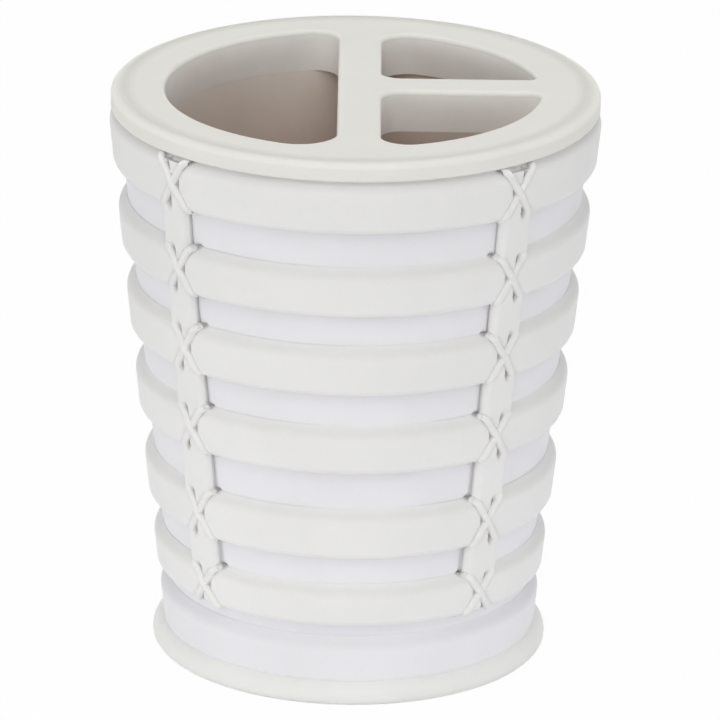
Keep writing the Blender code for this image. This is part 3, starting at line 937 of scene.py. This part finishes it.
def cord_section(bottom, top, lift):
    """A cord's centre line as (radius, height), from above its hoop to below it."""
    middle = (bottom + top) / 2
    turn = CORD_TURN + CORD_RIDE
    highest = TOP - RIM_THICKNESS - CORD_CLEAR
    end = min(top + CORD_RADIUS * CORD_END_SHARE, highest)
    upper = [(hoop_radius(top) - CORD_DIVE, end)]
    for step in range(CORD_TURN_STEPS + 1):
        angle = math.pi / 2 * (1 - step / CORD_TURN_STEPS)
        height = top + CORD_REACH - CORD_TURN + turn * math.sin(angle) - CORD_RADIUS
        upper.append((hoop_radius(top) - CORD_TURN + turn * math.cos(angle), height))
    start = upper[-1][1] - middle
    face = []
    for step in range(1, CORD_FACE_STEPS):
        height = middle + start * (1 - 2 * step / CORD_FACE_STEPS)
        hump = lift * math.exp(-((height - middle) / CORD_RADIUS / CROSSING_LIFT_REACH) ** 2)
        face.append((hoop_radius(height) + CORD_RIDE + hump, height))
    taper = hoop_radius(top) - hoop_radius(bottom)
    lower = [(radius - taper, 2 * middle - height) for radius, height in upper[::-1]]
    return upper + face + lower


def cord_line(bottom, top, lean, lift, shift):
    """Centre line of a cord over a crossing, from one corner to the opposite one."""
    section = cord_section(bottom, top, lift)
    along = [0.0]
    for (radius, height), (next_radius, next_height) in zip(section, section[1:]):
        along.append(along[-1] + math.hypot(next_radius - radius, next_height - height))
    points = []
    for (radius, height), distance in zip(section, along):
        across = lean * LASHING_REACH * (1 - 2 * distance / along[-1])
        radius -= FAR_SINK * max(0.0, -across * math.copysign(1, shift) / LASHING_REACH)
        turn = (across + shift) / hoop_radius((bottom + top) / 2)
        points.append(Vector((radius * math.cos(turn), radius * math.sin(turn), height)))
    return points


def tube(shape, points, radius):
    """Sweeps a round section along points, with flat ends, into a bmesh."""
    rings = []
    last = len(points) - 1
    normal = Vector((0, 0, 1))
    for i, point in enumerate(points):
        ahead = points[min(i + 1, last)] - points[max(i - 1, 0)]
        ahead.normalize()
        normal = normal - ahead * normal.dot(ahead)
        if normal.length < LEAST_NORMAL:
            normal = Vector((1, 0, 0)) - ahead * ahead.x
        normal.normalize()
        side = ahead.cross(normal)
        circle = []
        for step in range(CORD_SIDES):
            angle = 2 * math.pi * step / CORD_SIDES
            spoke = normal * math.cos(angle) + side * math.sin(angle)
            circle.append(shape.verts.new(point + spoke * radius))
        rings.append(circle)
    join_rings(shape, rings)


def make_lashings(material):
    for row, (bottom, top) in enumerate(LASHED_SPANS, 1):
        for number, angle in enumerate(stake_angles(), 1):
            shape = bmesh.new()
            shift = LASHING_SHIFT * inner_side(angle)
            tube(shape, cord_line(bottom, top, 1, 0, shift), CORD_RADIUS)
            tube(shape, cord_line(bottom, top, -1, CROSSING_LIFT, shift), CORD_RADIUS)
            mesh = finished_mesh(f"cords_{row}_{number}", shape)
            mesh.transform(Matrix.Rotation(angle, 4, "Z"))
            mesh.shade_smooth()
            cords = place_mesh(f"cords_{row}_{number}", mesh, material)
            finish_piece(cords, "holder", "lashings", f"lashing_{row}_{number}")


# Top plate

def plate_profile():
    bottom = TOP - RIM_THICKNESS
    rim = RIM_RADIUS - RIM_LOWER_FILLET
    plug = PLUG_RADIUS - PLUG_FILLET
    profile = [(0, TOP)]
    for step in range(-RIM_STEPS, RIM_STEPS + 1):
        share = step / RIM_STEPS
        profile.append((RIM_VALLEY_RADIUS + RIM_VALLEY_REACH * share,
                        TOP - RIM_VALLEY_HALF_DEPTH * (1 + math.cos(math.pi * share))))
    for step in range(RIM_STEPS + 1):
        angle = math.pi / 2 * step / RIM_STEPS
        profile.append((RIM_RADIUS - RIM_SHOULDER * (1 - math.sin(angle)),
                        TOP - RIM_SHOULDER_DROP * (1 - math.cos(angle))))
    profile += arc(rim, bottom + RIM_LOWER_FILLET, RIM_LOWER_FILLET, 0, -90, SMALL_FILLET_STEPS)
    profile.append((rebate_radius(bottom) - LID_GAP, bottom))
    profile += arc(plug, PLUG_BOTTOM + PLUG_FILLET, PLUG_FILLET, 0, -90, SMALL_FILLET_STEPS)
    profile.append((0, PLUG_BOTTOM))
    return profile


def corner_on_circle(radius, bar_line, fillet):
    """Middle of a fillet between a bar's side and the circle that bounds an opening."""
    across = bar_line + fillet
    return across, math.sqrt((radius - fillet) ** 2 - across ** 2)


def sweep(centre, radius, start, end, steps):
    """Points of an arc between two angles in radians."""
    points = []
    for step in range(steps + 1):
        angle = start + (end - start) * step / steps
        points.append((centre[0] + radius * math.cos(angle), centre[1] + radius * math.sin(angle)))
    return points


def wide_outline(grow, bar_edge):
    """The D-shaped opening, grown by its lip."""
    radius = PLUG_RADIUS - WIDE_OPENING_MARGIN
    back = corner_on_circle(radius, bar_edge, WIDE_BACK_FILLET)
    front = corner_on_circle(radius, bar_edge, WIDE_FRONT_FILLET)
    back_angle = math.atan2(back[1], back[0])
    front_angle = math.atan2(front[1], front[0])
    front = (front[0], -front[1])
    points = sweep((0, 0), radius + grow, -front_angle, back_angle, WIDE_ARC_STEPS)
    points += sweep(back, WIDE_BACK_FILLET + grow, back_angle, math.pi, WIDE_CORNER_STEPS)
    points += sweep(front, WIDE_FRONT_FILLET + grow, math.pi, 2 * math.pi - front_angle,
                    WIDE_CORNER_STEPS)
    return points


def narrow_outline(grow, bar_edge):
    """A quarter opening, grown by its lip."""
    radius = PLUG_RADIUS - NARROW_OPENING_MARGIN
    bar_line = WIDE_BAR / 2 + WIDE_BAR_SHIFT
    tip = corner_on_circle(radius, bar_edge, NARROW_TIP_FILLET)[::-1]
    crown = corner_on_circle(radius, bar_line, NARROW_ARC_FILLET)
    inner = (bar_line + NARROW_INNER_FILLET, bar_edge + NARROW_INNER_FILLET)
    tip_angle = math.atan2(tip[1], tip[0])
    crown_angle = math.atan2(crown[1], crown[0])
    points = sweep(tip, NARROW_TIP_FILLET + grow, -math.pi / 2, tip_angle, NARROW_TIP_STEPS)
    points += sweep((0, 0), radius + grow, tip_angle, crown_angle, NARROW_ARC_STEPS)
    points += sweep(crown, NARROW_ARC_FILLET + grow, crown_angle, math.pi, NARROW_CORNER_STEPS)
    points += sweep(inner, NARROW_INNER_FILLET + grow, math.pi, math.pi * 3 / 2,
                    NARROW_CORNER_STEPS)
    return points


def opening_levels():
    """Heights of a cutter's rings, from the top down, and how far each ring grows."""
    levels = [(TOP + CUT_OVERRUN, UPPER_LIP)]
    for step in range(FILLET_STEPS + 1):
        angle = math.pi / 2 * step / FILLET_STEPS
        height = TOP - UPPER_LIP + UPPER_LIP * math.cos(angle)
        levels.append((height, UPPER_LIP * (1 - math.sin(angle))))
    for step in range(LOWER_LIP_STEPS + 1):
        angle = math.pi / 2 * step / LOWER_LIP_STEPS
        height = PLUG_BOTTOM + LOWER_LIP * (1 - math.sin(angle))
        levels.append((height, LOWER_LIP * (1 - math.cos(angle))))
    levels.append((PLUG_BOTTOM - CUT_OVERRUN, LOWER_LIP))
    return levels


def opening_cutter(name, outline, bar_edge, mirror):
    shape = bmesh.new()
    rings = []
    for height, grow in opening_levels():
        points = [(x * mirror[0], y * mirror[1], height) for x, y in outline(grow, bar_edge)]
        rings.append([shape.verts.new(point) for point in points])
    join_rings(shape, rings)
    bmesh.ops.remove_doubles(shape, verts=shape.verts, dist=MERGE_DISTANCE)
    return place_mesh(name, finished_mesh(name, shape))


def in_opening(radius, height):
    return height < TOP - UPPER_LIP * UPPER_LIP_SHARE and radius < PLUG_RADIUS - PLUG_FACE_MARGIN


def make_top(outside, inside):
    """The top plate, with its three openings cut through the turned disc."""
    top = place_mesh("top_disc", revolve("top_disc", plate_profile()), outside, inside)
    cutters = [
        opening_cutter("wide_cutter", wide_outline, WIDE_BAR / 2 - WIDE_BAR_SHIFT, (-1, 1)),
        opening_cutter("back_cutter", narrow_outline, NARROW_BAR / 2 + NARROW_BAR_SHIFT, (1, 1)),
        opening_cutter("front_cutter", narrow_outline, NARROW_BAR / 2 - NARROW_BAR_SHIFT, (1, -1)),
    ]
    for cutter in cutters:
        cut(top, cutter)
    apply_modifiers(top)
    for cutter in cutters:
        bpy.data.objects.remove(cutter, do_unlink=True)
    paint_inside(top.data, in_opening)
    top.data.shade_smooth()
    top.data.set_sharp_from_angle(angle=SHARP_ANGLE)
    weighted = top.modifiers.new("Even shading", "WEIGHTED_NORMAL")
    weighted.keep_sharp = True
    finish_piece(top, "lid", "top", "top_plate")


# Stage

def seen_ray(tree):
    """One for the rays that look at the background, zero for those that light the object."""
    path = tree.nodes.new("ShaderNodeLightPath")
    total = path.outputs["Is Camera Ray"]
    for name in ("Is Glossy Ray", "Is Transmission Ray"):
        node = tree.nodes.new("ShaderNodeMath")
        node.operation = "MAXIMUM"
        link(tree, total, node.inputs[0])
        link(tree, path.outputs[name], node.inputs[1])
        total = node.outputs["Value"]
    return total


def make_stage():
    """A white floor that keeps a little of the object's shadow."""
    bpy.ops.mesh.primitive_plane_add(size=FLOOR_SIZE, location=(0, 0, 0))
    floor = bpy.context.object
    floor.name = "floor"
    material, tree, _ = new_material("floor_white")
    tree.nodes.clear()
    output = tree.nodes.new("ShaderNodeOutputMaterial")
    diffuse = tree.nodes.new("ShaderNodeBsdfDiffuse")
    diffuse.inputs["Color"].default_value = (*FLOOR_COLOUR, 1.0)
    glow = tree.nodes.new("ShaderNodeEmission")
    glow.inputs["Color"].default_value = (*WHITE, 1.0)
    glow.inputs["Strength"].default_value = 1.0
    share = tree.nodes.new("ShaderNodeMath")
    share.operation = "MULTIPLY"
    share.inputs[1].default_value = FLOOR_WHITE
    link(tree, seen_ray(tree), share.inputs[0])
    blend = tree.nodes.new("ShaderNodeMixShader")
    link(tree, share.outputs["Value"], blend.inputs["Fac"])
    link(tree, diffuse.outputs["BSDF"], blend.inputs[1])
    link(tree, glow.outputs["Emission"], blend.inputs[2])
    link(tree, blend.outputs["Shader"], output.inputs["Surface"])
    floor.data.materials.append(material)


def make_world():
    """A white studio that is brightest at the horizon; the camera sees plain white."""
    world = bpy.data.worlds.new("studio")
    bpy.context.scene.world = world
    world.use_nodes = True
    tree = world.node_tree
    background = tree.nodes["Background"]
    direction = tree.nodes.new("ShaderNodeTexCoord").outputs["Generated"]
    stops = [(place, shade(WHITE, value)) for place, value in WORLD_LEVELS]
    level = ramp(tree, upward(tree, direction), stops)
    link(tree, mix(tree, seen_ray(tree), level, WHITE), background.inputs["Color"])
    background.inputs["Strength"].default_value = 1.0


def area_light(name, place, size, power, colour):
    data = bpy.data.lights.new(name, "AREA")
    data.shape = "DISK"
    data.size = size
    data.energy = power
    data.color = colour
    lamp = bpy.data.objects.new(name, data)
    lamp.location = place
    lamp.rotation_euler = (Vector(LIGHT_AIM) - Vector(place)).to_track_quat("-Z", "Y").to_euler()
    bpy.context.scene.collection.objects.link(lamp)


def make_camera():
    data = bpy.data.cameras.new("camera")
    data.lens = LENS
    data.sensor_width = SENSOR
    camera = bpy.data.objects.new("camera", data)
    offset = Vector((0, -math.cos(CAMERA_ELEVATION), math.sin(CAMERA_ELEVATION)))
    place = Matrix.Translation(TARGET + offset * CAMERA_DISTANCE)
    aim = (-offset).to_track_quat("-Z", "Y").to_matrix().to_4x4()
    camera.matrix_world = place @ aim @ Matrix.Rotation(CAMERA_ROLL, 4, "Z")
    bpy.context.scene.collection.objects.link(camera)
    bpy.context.scene.camera = camera


def main():
    bpy.context.scene.view_settings.view_transform = "Standard"
    hoops = cast_material("cast_hoops", CAST_WHITE, CAST_ROUGHNESS, WARM_PAINTED_SHADE)
    wall = cast_material("cast_wall", WALL_WHITE, WALL_ROUGHNESS, COOL_PAINTED_SHADE)
    base = cast_material("cast_base", BASE_WHITE, CAST_ROUGHNESS)
    stakes = cast_material("cast_uprights", CAST_WHITE, CAST_ROUGHNESS, WARM_PAINTED_SHADE)
    cords = cast_material("cast_cords", CAST_WHITE, CAST_ROUGHNESS)
    top = cast_material("cast_top", TOP_WHITE, TOP_ROUGHNESS)
    add_rim_valley_shade(top)
    opening = inner_material("opening_wall", OPENING_WHITE, OPENING_SHADED, CAST_ROUGHNESS,
                             TOP, PLUG_BOTTOM)
    inner = inner_material("cup_inside", INSIDE_PALE, INSIDE_SHADED, INSIDE_ROUGHNESS,
                           PLUG_BOTTOM, INSIDE_SHADED_HEIGHT)
    make_cup(wall, inner)
    make_base(base)
    make_hoops(hoops, wall)
    make_stakes(stakes)
    make_lashings(cords)
    make_top(top, opening)
    make_stage()
    make_world()
    for light in LIGHTS:
        area_light(*light)
    make_camera()


main()
